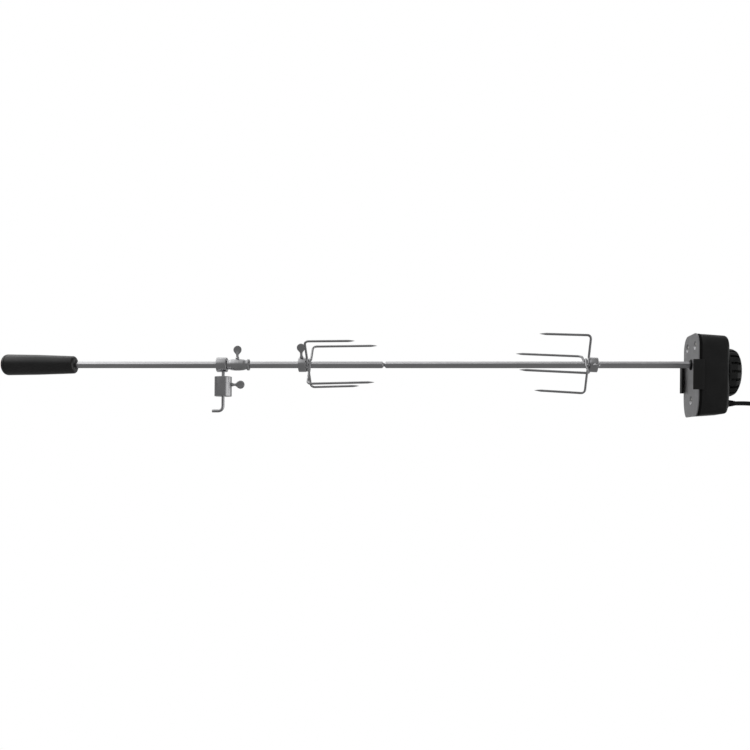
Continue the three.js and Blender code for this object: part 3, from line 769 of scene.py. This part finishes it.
def cross_recess(x, size, depth):
    """The tapered cross of a screw's head, cut along +x from x."""
    tools = []
    for angle in (20, 110):
        rings = []
        for part in (0, 1):
            half, thin = size * (1 - 0.45 * part), size * (0.24 - 0.06 * part)
            rings.append([Vector((x - 0.5 + (depth + 0.5) * part, y, z)) for y, z in (
                (-half, -thin), (half, -thin), (half, thin), (-half, thin),
            )])
        tools.append(turn(loft(rings), angle))
    return tools


def plate_screws():
    for name, place in zip(PLATE_SCREWS, screw_places()):
        lo, hi = first(name), last(name)
        head = turned([
            (lo.x, 0), (lo.x + 0.15, 2.2, 1.5), (lo.x + 1.1, 3.6, 0.5), (2.7, 3.6, 0.2), (2.7, 1.6),
            *thread(2.9, hi.x - 1.5, 1.6, 1.2, 1.0), (hi.x, 0.3), (hi.x, 0),
        ], 48)
        cut(head, *cross_recess(lo.x, 2.1, 1.4))
        piece(moved(head, y=place.y, z=place.z), name)


def thread(start, end, crest, root, pitch):
    """The profile of a screw's turns, as rings."""
    points = []
    count = max(int((end - start) / pitch), 1)
    for i in range(count):
        x = start + pitch * i
        points += [(x, root), (x + pitch * 0.5, crest), (x + pitch * 0.95, root)]
    return points


SOCKET_HALF = 4.35


def drive_socket():
    lo, hi = first("drive_socket"), last("drive_socket")
    body = turned([(lo.x, 0), (lo.x, 7, 0.6), (hi.x, 7, 0.4), (hi.x, 0)], 64)
    half = SOCKET_HALF
    hole = turn(block((lo.x - 1, -half, -half), (hi.x - 1.4, half, half)), 45 + DRIVE_TURN)
    piece(eased(cut(body, hole), 0.25), "drive_socket")
    lo, hi = first("output_bush"), last("output_bush")
    bush = [
        (lo.x, 7.3, 0.3), (hi.x, 7.3, 0.2), (hi.x, 13, 0.3), (1.8, 13, 0.2), (1.8, 8.3),
        (lo.x, 8.3, 0.4),
    ]
    piece(turned(bush, 64), "output_bush")


def strain_relief():
    """The moulded gland: a flange against the case, then a ribbed taper down to the cord."""
    lo, hi = first("strain_relief"), last("strain_relief")
    middle = (lo + hi) / 2
    face = last("housing_shell").x
    ribs = []
    for i in range(6):
        x = face + 4.4 + 1.35 * i
        radius = 5.3 - 0.2 * i
        ribs += [
            (x, radius, 0.15), (x + 0.75, radius - 0.1, 0.15), (x + 0.85, radius - 0.9),
            (x + 1.2, radius - 0.95),
        ]
    relief = turned([
        (lo.x, 3.6), (lo.x, 5, 0.3), (face + 0.1, 5), (face + 0.1, 8.5, 0.6),
        (face + 3.3, 8.5, 1.2), (face + 3.7, 5.7, 0.4), *ribs, (hi.x, 4, 0.3), (hi.x, 3.6),
    ], 48)
    piece(moved(relief, y=middle.y, z=middle.z), "strain_relief")


# ---- the spit ----

BAR_HALF = 4
BAR_CORNER = 0.45
DRIVE_TURN = -12
HANDLE_TURN = -7
END_CONE = 3.2


def square_section():
    """The bar's outline, with enough points across each flat for its ground ends."""
    corner = BAR_HALF - BAR_CORNER
    points = []
    for k in range(4):
        across = [Vector((BAR_HALF, corner * (i / 6 * 2 - 1))) for i in range(7)]
        arc = [
            Vector((corner + BAR_CORNER * math.cos(a), corner + BAR_CORNER * math.sin(a)))
            for a in (math.pi / 8, math.pi / 4, math.pi * 3 / 8)
        ]
        for p in across + arc:
            points.append(Matrix.Rotation(math.pi / 2 * k, 2) @ p)
    return points


def bar_rings(x0, x1, twist, ends):
    """Rings of a square bar whose given ends are ground to a cone."""
    outline = [Matrix.Rotation(math.radians(45 + twist), 2) @ p for p in square_section()]
    full = math.hypot(BAR_HALF, BAR_HALF)
    stations = [(x0, full), (x1, full)]
    if "start" in ends:
        steps = [(x0 + END_CONE * k / 8, full - END_CONE * (1 - k / 8)) for k in range(9)]
        stations = steps + stations[1:]
    if "end" in ends:
        steps = [(x1 - END_CONE * (1 - k / 8), full - END_CONE * k / 8) for k in range(9)]
        stations = stations[:-1] + steps
    rings = []
    for x, limit in stations:
        rings.append([Vector((x, *(p * min(1, limit / p.length)))) for p in outline])
    return rings


def spit():
    drive_lo, drive_hi = first("spit_drive_half").x, last("spit_drive_half").x
    seam = last("spit_handle_half").x
    stud = turned([
        (drive_lo, 0), (drive_lo, 2.2), *thread(drive_lo + 0.6, seam - 0.4, 2.8, 2.35, 1.0),
        (seam + 0.8, 2.3), (seam + 0.8, 0),
    ], 32)
    drive = loft(bar_rings(seam + 0.3, drive_hi, DRIVE_TURN, ("start", "end")))
    piece(join(drive, stud), "spit_drive_half")

    tang = first("spit_handle_half").x
    plain = loft(bar_rings(HANDLE_FRONT + 2.5, seam, HANDLE_TURN, ("end",)))
    bottom, neck = drive_lo - 1.2, HANDLE_FRONT + 3
    socket = turned([(bottom, 0), (bottom, 3.05), (seam + 1, 3.05), (seam + 1, 0)], 32)
    shank = turned([(tang, 0), (tang, 3.4, 0.4), (neck, 3.4), (neck, 0)], 32)
    piece(join(cut(plain, socket), shank), "spit_handle_half")


HANDLE_FRONT = last("handle_grip").x
HANDLE_SEAM = first("handle_grip").x


def handle():
    grip = turned([
        (HANDLE_SEAM, 0), (HANDLE_SEAM, 17, 0.5), (-1040, 16.2, 60), (-1000, 14.9, 60),
        (HANDLE_FRONT, 14, 4), (HANDLE_FRONT, 6.3, 0.3), (-1006, 6.3), (-1006, 0),
    ], 96)
    piece(grip, "handle_grip")
    lo, hi = first("handle_end_cap").x, last("handle_end_cap").x
    cap = turned([
        (lo, 0), (lo, 8.5, 5), (lo + 1.8, 12.8, 4), (lo + 4.4, 15.8, 6), (hi, 17, 0.5), (hi, 0),
    ], 96)
    piece(cap, "handle_end_cap")
    lo, hi = first("handle_insert").x, last("handle_insert").x
    piece(turned([(lo, 3.7), (lo, 6, 0.2), (hi, 6, 0.4), (hi, 3.7, 0.2)], 48), "handle_insert")


# ---- collars, forks and thumbscrews ----

BORE = 6.1
SCREW_HOLE = 2.3
NECK = 2.1
PADDLE = 6.65
PADDLE_HALF = 1.5
NO_DISH = 99  # a disc's centre so far off that a ring isn't dished


def paddle_section(x, half_width, half_thick, flatness, centre):
    """One ring across a thumbscrew: round at the neck, flat and a little dished at the disc."""
    ring = []
    for i in range(40):
        a = 2 * math.pi * i / 40
        c, s = math.cos(a), math.sin(a)
        z = half_width * math.copysign(abs(c) ** (2 / flatness), c)
        y = half_thick * math.copysign(abs(s) ** (2 / flatness), s)
        away = math.hypot(x - centre, z) / 4
        ring.append(Vector((x, y * (1 - 0.28 * math.exp(-(away**4))), z)))
    return ring


def thumbscrew(inside, centre):
    """A cast thumbscrew along +x, its shoulder at x = 0 and its disc's centre at `centre`."""
    rings = [[Vector((-inside, 0, 0))]]
    for x, radius in [(-inside, 1.4), *thread(-inside + 0.3, -0.3, 2, 1.7, 0.8), (0.2, 1.9)]:
        rings.append(paddle_section(x, radius, radius, 2, NO_DISH))
    shoulder = rounded([
        (0.2, 1.9), (0.2, 3, 0.4), (1.5, 3, 0.5), (3.6, NECK, 3), (centre - 9, NECK),
    ])
    for x, radius in shoulder[1:]:
        rings.append(paddle_section(x, radius, radius, 2, NO_DISH))
    flare_end = centre - 4
    wide = math.sqrt(PADDLE**2 - 16)
    steps = 8
    for k in range(1, steps + 1):
        t = k / steps
        x = centre - 9 + 5 * t
        rise = (3 * t**2 - 2 * t**3) * (wide - NECK) + (t**3 - t**2) * 5 * 0.75
        thick = NECK + (PADDLE_HALF - NECK) * smooth(t)
        rings.append(paddle_section(x, NECK + rise, thick, 2 + 1.6 * smooth(t), centre))
    start = math.acos((flare_end - centre) / PADDLE)
    for k in range(1, 15):
        a = start * (1 - k / 15)
        x = centre + PADDLE * math.cos(a)
        edge = min(1, math.sin(a) / 0.5) ** 0.5
        rings.append(paddle_section(x, PADDLE * math.sin(a), PADDLE_HALF * edge, 3.6, centre))
    rings.append([Vector((centre + PADDLE, 0, 0))])
    return loft(rings)


def radially(obj, x, surface, degrees):
    """Points a screw drawn along +x outward, at that angle from +y, from radius surface."""
    moved(obj, x=surface)
    out = Vector((0, math.cos(math.radians(degrees)), math.sin(math.radians(degrees))))
    side = Vector((-1, 0, 0))
    across = side.cross(out)
    basis = Matrix((out, across, side)).transposed().to_4x4()
    obj.data.transform(Matrix.Translation((x, 0, 0)) @ basis)
    return obj


def radial_hole(x, radius, degrees):
    return radially(turned([(0, 0), (0, radius), (24, radius), (24, 0)], 32), x, 0, degrees)


def centre_x(node):
    return (first(node).x + last(node).x) / 2


FORK_SPREAD = 46.6
WIRE = 1.8
WIRE_BEND = 6
JOG = 8
JOG_HALF = 14
TIP = 10
HUB = 12.4
HUB_RADIUS = 11.35
WELD_GAP = 0.3
REACH = {"short": 78.5, "long": 104.5}
FORKS = {
    "fork_1": {"side": 1, "turns": {"short": 135, "long": 45}, "screw": 110, "tilt": 1},
    "fork_2": {"side": -1, "turns": {"short": 112, "long": 22}, "screw": 187, "tilt": 2.6},
}


def wire_line(reach):
    """One wire of a fork in (u, v, w): tine, bend, leg, a jog round the spit, and back out."""
    tip, shoulder = Vector((FORK_SPREAD - 1, 0, reach)), Vector((FORK_SPREAD - 0.5, 0, reach / 2))
    steps = (0, 0.1, 0.25, 0.45, 0.7, 1.0)
    half = [tip.lerp(shoulder, TIP * step / (reach / 2)) for step in steps] + [shoulder]
    for k in range(9):
        a = math.pi / 2 * k / 8
        half.append(Vector((
            FORK_SPREAD - WIRE_BEND + WIRE_BEND * math.cos(a), 0,
            WIRE_BEND - WIRE_BEND * math.sin(a),
        )))
    for u in (32, 24, 18, *range(JOG_HALF, 0, -1)):
        lift = JOG * (0.5 + 0.5 * math.cos(math.pi * u / JOG_HALF)) if u < JOG_HALF else 0
        half.append(Vector((u, lift, 0)))
    middle = Vector((0, JOG, 0))
    return [*half, middle, *(Vector((-p.x, p.y, p.z)) for p in reversed(half))]


def wire_radii(line, reach):
    """Full thickness, but for the long ground points of the tines."""
    radii = []
    for point in line:
        left = min(1, max(reach - point.z, 0) / TIP) if point.z > reach / 2 else 1
        radii.append(max(WIRE * left**0.7, 0.18))
    return radii


def bead(centre, size, seed):
    """A blob of weld, a little uneven."""
    bm = bmesh.new()
    bmesh.ops.create_icosphere(bm, subdivisions=3, radius=1)
    for vert in bm.verts:
        lump = 1 + 0.14 * noise.noise(vert.co * 2.2 + Vector((seed, 0, 0)))
        grown = Vector((vert.co.x * size[0], vert.co.y * size[1], vert.co.z * size[2]))
        vert.co = centre + grown * lump
    return from_bmesh(bm)


def fork_wire(reach, x, side, degrees, face):
    """A wire bent to a double tine and welded across the hub's face."""
    line = wire_line(reach)
    a = math.radians(degrees)
    along = Vector((0, math.cos(a), math.sin(a)))
    across = Vector((0, -math.sin(a), math.cos(a)))
    out = Vector((side, 0, 0))
    place = [Vector((x, 0, 0)) + along * u + across * v + out * w for u, v, w in line]
    wire = tube(place, wire_radii(line, reach), 18)
    beads = []
    for i, sign in enumerate((1, -1)):
        middle = Vector((face + (x - face) * 0.55, 0, 0)) + along * sign * 9.6 + across * 1.6
        beads.append(bead(middle, (abs(x - face) * 0.62, 2.6, 2.6), degrees + i))
    return join(wire, *beads)


def fork(name, side, turns, screw, tilt):
    """A fork drawn about its hub's middle, then sat a little tilted on the bar with its tips up."""
    tips_up = Matrix.Rotation(math.radians(-side * tilt), 4, "Y")
    seat = Matrix.Translation((centre_x(f"{name}_hub"), 0, 0)) @ tips_up

    def seated(obj, node):
        obj.data.transform(seat)
        piece(obj, node)

    end = HUB / 2
    ring = turned([
        (-end, BORE, 0.3), (-end, HUB_RADIUS, 0.9), (end, HUB_RADIUS, 0.9), (end, BORE, 0.3),
    ], 72)
    seated(cut(ring, radial_hole(-side, SCREW_HOLE, screw)), f"{name}_hub")
    face = side * end
    x = face + side * (WIRE + WELD_GAP)
    for wire, degrees in turns.items():
        seated(fork_wire(REACH[wire], x, side, degrees, face), f"{name}_{wire}_wire")
        x += side * (2 * WIRE + WELD_GAP)
    head = thumbscrew(HUB_RADIUS - 5.9, 16.5)
    seated(radially(head, -side, HUB_RADIUS, screw), f"{name}_thumbscrew")


def bushing():
    lo, hi = first("bushing").x, last("bushing").x
    screw_x = centre_x("bushing_thumbscrew")
    body = width("bushing").z / 2
    barrel = turned([
        (lo, BORE, 0.3), (lo, 7.6, 0.6), (lo + 4, 7.6, 2), (lo + 7, 8.6, 6),
        (screw_x - 3, body, 12), (screw_x + 3, body, 12), (hi - 9, 8.5, 6),
        (hi - 6.4, 7.5, 1.5), (hi - 3.6, 7.1, 0.8), (hi - 3.6, 9, 0.6), (hi, 9, 0.8),
        (hi, BORE, 0.3),
    ], 72)
    piece(cut(barrel, radial_hole(screw_x, SCREW_HOLE, 90)), "bushing")
    head = thumbscrew(body - 5.9, 15)
    piece(radially(head, screw_x, body, 90), "bushing_thumbscrew")


HANGER_BEND = 8
HANGER_RADIUS = 2.5
HANGER_HOLE = 2.8  # in the collar
WEIGHT_BORE = 2.9


def counterweight():
    lo, hi = first("clamp_collar").x, last("clamp_collar").x
    radius = width("clamp_collar").z / 2
    hanger = last("counterweight_rod").x - HANGER_RADIUS
    collar = turned([(lo, BORE, 0.3), (lo, radius, 0.9), (hi, radius, 0.9), (hi, BORE, 0.3)], 72)
    piece(cut(collar, radial_hole(hanger, HANGER_HOLE, 270)), "clamp_collar")

    low_end, high_end = first("counterweight_rod"), last("counterweight_rod")
    wire = HANGER_RADIUS
    foot = low_end.z + wire
    tip = low_end.x
    straight = foot + HANGER_BEND
    line = [Vector((hanger, 0, z)) for z in (high_end.z, high_end.z - 0.5, -20, -40, straight + 5)]
    radii = [wire - 0.4, wire, wire, wire, wire]
    for k in range(13):
        a = math.pi / 2 * k / 12
        line.append(Vector((
            hanger - HANGER_BEND + HANGER_BEND * math.cos(a), 0,
            straight - HANGER_BEND * math.sin(a),
        )))
        radii.append(wire)
    line += [Vector((tip + x, 0, foot)) for x in (4, 0.6, 0.2, 0)]
    radii += [wire, wire, wire - 0.25, wire - 0.7]
    piece(tube(line, radii, 28), "counterweight_rod")

    bottom, top = first("counterweight").z, last("counterweight").z
    drum_radius = width("counterweight").y / 2
    drum = turned([
        (bottom, WEIGHT_BORE, 0.3), (bottom, drum_radius, 0.7), (top, drum_radius, 0.7),
        (top, WEIGHT_BORE, 0.3),
    ], 96)
    turn(drum, -90, "Y")
    screw_lo, screw_hi = first("counterweight_thumbscrew"), last("counterweight_thumbscrew")
    screw_z = (screw_lo.z + screw_hi.z) / 2
    tapped = moved(turned([(0, 0), (0, SCREW_HOLE), (20, SCREW_HOLE), (20, 0)], 32), z=screw_z)
    piece(moved(cut(drum, tapped), x=hanger), "counterweight")
    head = thumbscrew(drum_radius - 3.1, 14.4)
    piece(moved(head, x=hanger + drum_radius, z=screw_z), "counterweight_thumbscrew")


# ---- the plug ----


def plug():
    """A moulded three-pin plug: a domed, ribbed body and neck, two blades and a pin."""
    lo, hi = first("plug_body"), last("plug_body")
    middle_y = (lo.y + hi.y) / 2
    half = (hi.y - lo.y) / 2
    body_from = lo.x + 22
    axis_z = -ORIGIN.z / MM + 13
    arch = axis_z + 6
    dome = [
        Vector((middle_y + half * math.cos(a), arch + half * math.sin(a)))
        for a in (math.pi * i / 24 for i in range(25))
    ]
    near, far = middle_y - half, middle_y + half
    base = rounded([(near, arch), (near, lo.z, 2.5), (far, lo.z, 2.5), (far, arch)], 5)[1:-1]
    ring = base + dome
    centre = Vector((middle_y, arch - 3))

    def section(x, scale):
        return [Vector((x, *(centre + (p - centre) * scale))) for p in ring]

    length = hi.x - body_from
    stations = [(0, 0.55), (0.6, 0.72), (2.5, 0.88), (6, 0.96), (10, 0.985)]
    for i in range(5):
        stations += [
            (12 + 3 * i, 0.99), (12.6 + 3 * i, 0.955), (13.8 + 3 * i, 0.955),
            (14.4 + 3 * i, 0.99),
        ]
    stations += [(length - 5, 1), (length - 1, 1), (length - 0.3, 0.985), (length, 0.95)]
    rings = [section(body_from + x, scale) for x, scale in stations]
    for r in rings:
        for p in r:
            p.z = max(p.z, lo.z)
    body = loft(rings)
    neck_ribs = []
    for i in range(5):
        x = lo.x + 1.5 + 3.6 * i
        radius = 4.3 + 0.55 * i
        neck_ribs += [
            (x, radius, 0.3), (x + 2.1, radius + 0.2, 0.3), (x + 2.3, radius - 0.9),
            (x + 3.3, radius - 0.9),
        ]
    neck = turned([
        (lo.x, 0), (lo.x, 4.0, 0.4), *neck_ribs, (body_from + 3, 7), (body_from + 3, 0),
    ], 40)
    join(body, moved(neck, y=middle_y, z=axis_z))
    holes = []
    for name in ("plug_blade_live", "plug_blade_neutral"):
        a, b = first(name), last(name)
        holes.append(block((a.x - 0.3, a.y - 0.15, a.z - 0.15), (b.x, b.y + 0.15, b.z + 0.15)))
        blade = block(a, b)
        hole = turned([(-2, 0), (-2, 1.5), (2, 1.5), (2, 0)], 24)
        turn(hole, 90, "Z")
        cut(blade, moved(hole, x=b.x - 4.5, y=(a.y + b.y) / 2, z=(a.z + b.z) / 2))
        piece(eased(blade, 0.3, 3), name)
    a, b = first("plug_pin_earth"), last("plug_pin_earth")
    pin_y, pin_z = (a.y + b.y) / 2, (a.z + b.z) / 2
    pin_hole = turned([(a.x - 0.3, 0), (a.x - 0.3, 2.55), (b.x, 2.55), (b.x, 0)], 32)
    holes.append(moved(pin_hole, y=pin_y, z=pin_z))
    pin = turned([(a.x, 0), (a.x, 2.4, 0.3), (b.x - 2, 2.4, 1), (b.x, 1.2, 0.8), (b.x, 0)], 40)
    piece(moved(pin, y=pin_y, z=pin_z), "plug_pin_earth")
    piece(cut(body, *holes), "plug_body")


# ---- what stays as the CAD has it, inside the case ----


def inner_pieces():
    for name, obj in frame["nodes"].items():
        if obj.hide_render:
            continue
        obj.data.materials.clear()
        obj.data.materials.append(LOOKS[SLOT_OF[name]])
        edges = obj.modifiers.new("edges", "BEVEL")
        edges.width = 0.15 * MM
        edges.segments = 2
        edges.limit_method = "ANGLE"
        edges.angle_limit = math.radians(40)


# ---- the studio ----


def floor():
    """A pale floor that is seen from above only, so a camera below it looks through."""
    bm = bmesh.new()
    bmesh.ops.create_grid(bm, x_segments=1, y_segments=1, size=4)
    sheet = from_bmesh(bm)
    sheet.name = "floor"
    sheet.location.z = -0.0004
    look = Look("floor", (0.86, 0.86, 0.86), 0.7)
    look.rough(look.noise(0.2, 3), 0.62, 0.78)
    back = look.add("ShaderNodeNewGeometry").outputs["Backfacing"]
    clear = look.add("ShaderNodeBsdfTransparent")
    mix = look.add("ShaderNodeMixShader")
    look.links.new(back, mix.inputs[0])
    look.links.new(look.shader.outputs["BSDF"], mix.inputs[1])
    look.links.new(clear.outputs["BSDF"], mix.inputs[2])
    look.links.new(mix.outputs["Shader"], look.nodes["Material Output"].inputs["Surface"])
    sheet.data.materials.append(look.material)
    sheet.visible_glossy = False


OVERHEAD = 0.435
LEFTWARD = 1.94  # how fast the overhead light grows towards the left
AMBIENT = 0.2
RIGHT_BOX = 0.8
BEHIND = 0.16


def surroundings():
    """White to the camera. The pieces see a studio that is brightest overhead at the left."""
    world = bpy.data.worlds.new("studio")
    bpy.context.scene.world = world
    world.use_nodes = True
    nodes, links = world.node_tree.nodes, world.node_tree.links

    def math_node(operation, *values):
        node = nodes.new("ShaderNodeMath")
        node.operation = operation
        for socket, value in zip(node.inputs, values):
            if isinstance(value, bpy.types.NodeSocket):
                links.new(value, socket)
            else:
                socket.default_value = value
        return node.outputs[0]

    def ease(value, start, end):
        node = nodes.new("ShaderNodeMapRange")
        node.interpolation_type = "SMOOTHSTEP"
        links.new(value, node.inputs["Value"])
        node.inputs["From Min"].default_value = start
        node.inputs["From Max"].default_value = end
        return node.outputs["Result"]

    split = nodes.new("ShaderNodeSeparateXYZ")
    links.new(nodes.new("ShaderNodeTexCoord").outputs["Generated"], split.inputs[0])
    x, y, z = split.outputs
    growth = math_node("EXPONENT", math_node("MULTIPLY", x, -LEFTWARD))
    overhead = math_node("MULTIPLY", growth, OVERHEAD)
    gain = math_node("SUBTRACT", overhead, AMBIENT)
    lit = math_node("ADD", math_node("MULTIPLY", ease(z, 0.2, 0.9), gain), AMBIENT)
    low_down = math_node("MULTIPLY", ease(z, 0.5, 0.1), RIGHT_BOX)
    right = math_node("MULTIPLY", ease(x, 0.68, 0.92), low_down)
    behind = math_node("MULTIPLY", ease(y, 0.55, 1.0), BEHIND)
    total = math_node("ADD", math_node("ADD", lit, behind), right)
    studio = nodes["Background"]
    links.new(total, studio.inputs["Color"])
    plain = nodes.new("ShaderNodeBackground")
    plain.inputs["Color"].default_value = (1, 1, 1, 1)
    mix = nodes.new("ShaderNodeMixShader")
    links.new(nodes.new("ShaderNodeLightPath").outputs["Is Camera Ray"], mix.inputs[0])
    links.new(studio.outputs[0], mix.inputs[1])
    links.new(plain.outputs[0], mix.inputs[2])
    links.new(mix.outputs[0], nodes["World Output"].inputs["Surface"])


def softbox(name, place, target, size, power, glossy=True):
    data = bpy.data.lights.new(name, "AREA")
    data.shape = "RECTANGLE"
    data.size, data.size_y = size
    data.energy = power
    lamp = bpy.data.objects.new(name, data)
    lamp.location = place
    lamp.rotation_euler = (Vector(target) - Vector(place)).to_track_quat("-Z", "Y").to_euler()
    lamp.visible_glossy = glossy
    bpy.context.scene.collection.objects.link(lamp)


def studio():
    bpy.context.scene.view_settings.view_transform = "Standard"
    surroundings()
    floor()
    softbox("overhead", (0, 0, 2.2), (0, 0, 0), (3, 2), 26, glossy=False)
    softbox("back_strip", (-0.2, 1.0, 1.6), (0, 0, 0.08), (3, 0.35), 3)


# ---- making it ----

camera()
cord, cord_exit, cord_length = mains_cord()
tie = cord_tie()
mounting_plate()
case_gasket()
housing_shell()
vent_cap()
rails()
plate_screws()
drive_socket()
strain_relief()
spit()
handle()
for fork_name, parts in FORKS.items():
    fork(fork_name, **parts)
bushing()
counterweight()
plug()
inner_pieces()
studio()
